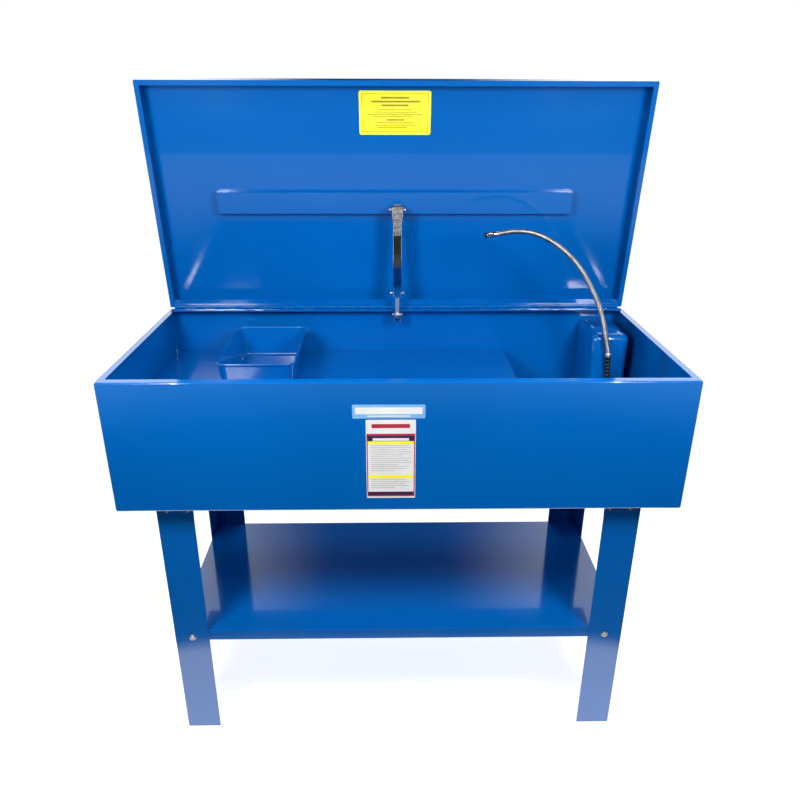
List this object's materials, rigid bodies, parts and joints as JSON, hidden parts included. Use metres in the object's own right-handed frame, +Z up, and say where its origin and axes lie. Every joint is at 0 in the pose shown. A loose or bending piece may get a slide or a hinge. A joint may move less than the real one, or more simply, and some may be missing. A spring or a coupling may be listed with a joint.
{
  "type": "parts washer tank",
  "caption": "Sheet-steel parts washer: a deep tank on angle legs with a hinged lid, stay, pump, flexible spout, work shelf, soak basket and lower shelf.",
  "frame": {"origin": "bottom centre of the bounding box of the whole object with its lid open, on the floor", "axes": "+X to the user's right when standing at the front, +Y from the front to the back, +Z up"},
  "size_m": [1.221, 0.5986, 1.5214],
  "materials": {
    "paint": "glossy blue powder coat",
    "zinc": "bright zinc plate",
    "chrome": "polished",
    "link": "dull grey, rough",
    "rubber": "matte black",
    "plastic": "moulded black",
    "brass": "machined"
  },
  "bodies": {
    "root": {"bolt_front_left_1": "zinc", "bolt_front_left_2": "zinc", "bolt_front_left_3": "zinc", "bolt_front_right_1": "zinc", "bolt_front_right_2": "zinc", "bolt_front_right_3": "zinc", "bolt_rear_left_1": "zinc", "bolt_rear_left_2": "zinc", "bolt_rear_left_3": "zinc", "bolt_rear_right_1": "zinc", "bolt_rear_right_2": "zinc", "bolt_rear_right_3": "zinc", "cable_gland": "plastic", "delivery_hose": "rubber", "drain_bush": "brass", "drain_nut": "brass", "hinge_leaf_tank": "paint", "hinge_pin": "zinc", "leg_bracket_front_left": "paint", "leg_bracket_front_right": "paint", "leg_bracket_rear_left": "paint", "leg_bracket_rear_right": "paint", "leg_front_left": "paint", "leg_front_right": "paint", "leg_rear_left": "paint", "leg_rear_right": "paint", "lower_shelf": "paint", "pump_body": "plastic", "pump_cover": "paint", "pump_strainer": "plastic", "shelf_ledge_back": "paint", "shelf_ledge_front": "paint", "spout_elbow": "brass", "stay_lower_pin": "zinc", "tank_shell": "paint", "tank_stay_bracket": "zinc", "work_shelf": "paint"},
    "lid": {"lid_pan": "paint", "lid_stiffener": "paint", "hinge_leaf_lid": "paint", "lid_stay_bracket": "zinc", "stay_upper_pin": "zinc"},
    "stay_arm": {"stay_arm": "chrome", "fusible_link": "link", "stay_guide_pin": "zinc"},
    "stay_rod": {"stay_rod": "chrome"},
    "spout_collar": {"spout_collar": "zinc"},
    "spout": {"spout_sleeve": "rubber", "spout_gooseneck": "chrome", "spout_tip": "chrome"},
    "basket": {"soak_basket": "paint"},
    "impeller": {"pump_impeller": "plastic"},
    "drain_plug": {"drain_plug": "brass"}
  },
  "joints": [
    {"name": "lid_hinge", "type": "hinge", "parent": "root", "child": "lid", "pos_m": [0, 0.25343, 0.9623], "axis": [1, 0, 0], "range_deg": [0, 83]},
    {"name": "stay_upper_pivot", "type": "hinge", "parent": "lid", "child": "stay_arm", "pos_m": [0, 0.22602, 1.22089], "axis": [1, 0, 0], "range_deg": [0, 4]},
    {"name": "stay_lower_pivot", "type": "hinge", "parent": "root", "child": "stay_rod", "pos_m": [0, 0.22373, 0.95], "axis": [1, 0, 0], "range_deg": [0, 87]},
    {"name": "spout_swivel", "type": "hinge", "parent": "root", "child": "spout_collar", "pos_m": [0.5385, 0.08073, 0.815], "axis": [0, 0, 1], "range_deg": [-20, 2]},
    {"name": "spout_tilt", "type": "hinge", "parent": "spout_collar", "child": "spout", "pos_m": [0.5385, 0.08073, 0.815], "axis": [1, 0, 0], "range_deg": [0, 73]},
    {"name": "basket_slide", "type": "slide", "parent": "root", "child": "basket", "axis": [1, 0, 0], "range_m": [-0.15, 0.45]},
    {"name": "pump_spin", "type": "hinge", "parent": "root", "child": "impeller", "pos_m": [0.545, 0.19673, 0.69], "axis": [0, 0, 1], "continuous": true},
    {"name": "drain_plug_turn", "type": "hinge", "parent": "root", "child": "drain_plug", "pos_m": [0.45, -0.06927, 0.64], "axis": [0, 0, 1], "continuous": true}
  ],
  "couplings": [
    {"joint": "stay_upper_pivot", "follows": "lid_hinge", "ratio": 0.04048},
    {"joint": "stay_lower_pivot", "follows": "lid_hinge", "ratio": 1.0405},
    {"joint": "spout_tilt", "follows": "lid_hinge", "ratio": 0.86747}
  ]
}
